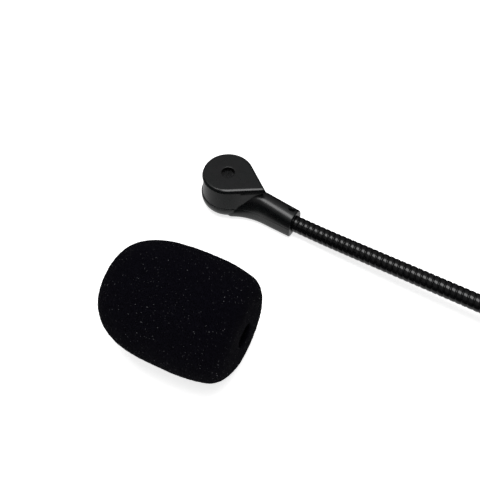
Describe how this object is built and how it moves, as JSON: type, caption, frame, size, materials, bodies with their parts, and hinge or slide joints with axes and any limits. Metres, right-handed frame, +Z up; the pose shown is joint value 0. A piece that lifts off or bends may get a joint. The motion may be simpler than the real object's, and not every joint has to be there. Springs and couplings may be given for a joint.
{
  "type": "gooseneck podium microphone",
  "caption": "Teardrop microphone head on a flexible two-wire gooseneck with a three-pin plug base, and a loose foam windscreen beside the head.",
  "frame": {"origin": "centre of the object's footprint, on the surface that it lies on", "axes": "+X along the gooseneck from the head to the plug, +Z up, out of the head's lid; the windscreen lies on the -Y side"},
  "size_m": [0.3894, 0.0902, 0.0389],
  "materials": {
    "housing": "satin moulded ABS",
    "foam": "open-cell foam, matte",
    "gooseneck_wire": "black oxide, semi-gloss",
    "base_metal": "black, satin",
    "screw_steel": "black oxide",
    "pin_silver": "silver plate",
    "capsule_metal": "satin",
    "capsule_felt": "felt",
    "rubber": "matte",
    "port_screen": "black woven wire",
    "circuit_board": "solder mask",
    "component": "moulded",
    "insert_plastic": "moulded",
    "cable_sheath": "PVC",
    "lead_white": "PVC",
    "lead_red": "PVC",
    "lead_yellow": "PVC"
  },
  "bodies": {
    "head": {"head_lid": "housing", "head_upper_shell": "housing", "head_lower_shell": "housing", "front_port_screen": "port_screen", "rear_port_screen": "port_screen", "capsule_can": "capsule_metal", "capsule_felt": "capsule_felt", "capsule_boot": "rubber", "capsule_board": "circuit_board", "shell_screw_1": "screw_steel", "shell_screw_2": "screw_steel", "neck_set_screw": "screw_steel", "signal_cable_head": "cable_sheath", "capsule_lead_red": "lead_red", "capsule_lead_white": "lead_white", "gooseneck_head_end": "gooseneck_wire"},
    "gooseneck_01": {"gooseneck_link_01": "gooseneck_wire", "signal_cable_01": "cable_sheath"},
    "gooseneck_02": {"gooseneck_link_02": "gooseneck_wire", "signal_cable_02": "cable_sheath"},
    "gooseneck_03": {"gooseneck_link_03": "gooseneck_wire", "signal_cable_03": "cable_sheath"},
    "gooseneck_04": {"gooseneck_link_04": "gooseneck_wire", "signal_cable_04": "cable_sheath"},
    "gooseneck_05": {"gooseneck_link_05": "gooseneck_wire", "signal_cable_05": "cable_sheath"},
    "gooseneck_06": {"gooseneck_link_06": "gooseneck_wire", "signal_cable_06": "cable_sheath"},
    "gooseneck_07": {"gooseneck_link_07": "gooseneck_wire", "signal_cable_07": "cable_sheath"},
    "gooseneck_08": {"gooseneck_link_08": "gooseneck_wire", "signal_cable_08": "cable_sheath"},
    "gooseneck_09": {"gooseneck_link_09": "gooseneck_wire", "signal_cable_09": "cable_sheath"},
    "gooseneck_10": {"gooseneck_link_10": "gooseneck_wire", "signal_cable_10": "cable_sheath"},
    "windscreen": {"foam_windscreen": "foam"},
    "base": {"gooseneck_base_end": "gooseneck_wire", "signal_cable_base": "cable_sheath", "collar_set_screw": "screw_steel", "barrel_screw": "screw_steel", "insert_screw": "screw_steel", "base_collar": "base_metal", "base_barrel": "base_metal", "plug_shell": "base_metal", "plug_insert": "insert_plastic", "plug_pin_1": "pin_silver", "plug_pin_2": "pin_silver", "plug_pin_3": "pin_silver", "preamp_board": "circuit_board", "preamp_chip": "component", "preamp_capacitor_1": "capsule_metal", "preamp_capacitor_2": "capsule_metal", "pin_lead_1": "lead_white", "pin_lead_2": "lead_red", "pin_lead_3": "lead_yellow"}
  },
  "joints": [
    {"name": "gooseneck_bend_01", "type": "hinge", "parent": "head", "child": "gooseneck_01", "pos_m": [-0.15295, 0.03345, 0.0046], "axis": [0, -1, 0], "range_deg": [-30, 30]},
    {"name": "gooseneck_bend_02", "type": "hinge", "parent": "gooseneck_01", "child": "gooseneck_02", "pos_m": [-0.12703, 0.0334, 0.00664], "axis": [0, 0, 1], "range_deg": [-30, 30]},
    {"name": "gooseneck_bend_03", "type": "hinge", "parent": "gooseneck_02", "child": "gooseneck_03", "pos_m": [-0.1011, 0.03363, 0.00845], "axis": [0, -1, 0], "range_deg": [-30, 30]},
    {"name": "gooseneck_bend_04", "type": "hinge", "parent": "gooseneck_03", "child": "gooseneck_04", "pos_m": [-0.07512, 0.03427, 0.00954], "axis": [0, 0, 1], "range_deg": [-30, 30]},
    {"name": "gooseneck_bend_05", "type": "hinge", "parent": "gooseneck_04", "child": "gooseneck_05", "pos_m": [-0.04914, 0.03517, 0.00954], "axis": [0, -1, 0], "range_deg": [-30, 30]},
    {"name": "gooseneck_bend_06", "type": "hinge", "parent": "gooseneck_05", "child": "gooseneck_06", "pos_m": [-0.02316, 0.03608, 0.00954], "axis": [0, 0, 1], "range_deg": [-30, 30]},
    {"name": "gooseneck_bend_07", "type": "hinge", "parent": "gooseneck_06", "child": "gooseneck_07", "pos_m": [0.00284, 0.03662, 0.00954], "axis": [0, -1, 0], "range_deg": [-30, 30]},
    {"name": "gooseneck_bend_08", "type": "hinge", "parent": "gooseneck_07", "child": "gooseneck_08", "pos_m": [0.02884, 0.03672, 0.00954], "axis": [0, 0, 1], "range_deg": [-30, 30]},
    {"name": "gooseneck_bend_09", "type": "hinge", "parent": "gooseneck_08", "child": "gooseneck_09", "pos_m": [0.05484, 0.03644, 0.00954], "axis": [0, -1, 0], "range_deg": [-30, 30]},
    {"name": "gooseneck_bend_10", "type": "hinge", "parent": "gooseneck_09", "child": "gooseneck_10", "pos_m": [0.08083, 0.03599, 0.00954], "axis": [0, 0, 1], "range_deg": [-30, 30]},
    {"name": "gooseneck_bend_11", "type": "hinge", "parent": "gooseneck_10", "child": "base", "pos_m": [0.10683, 0.03563, 0.00954], "axis": [0, -1, 0], "range_deg": [-30, 30]},
    {"name": "windscreen_pull", "type": "slide", "parent": "head", "child": "windscreen", "axis": [-0.9934, -0.1144, 0], "range_m": [0, 0.08]}
  ]
}
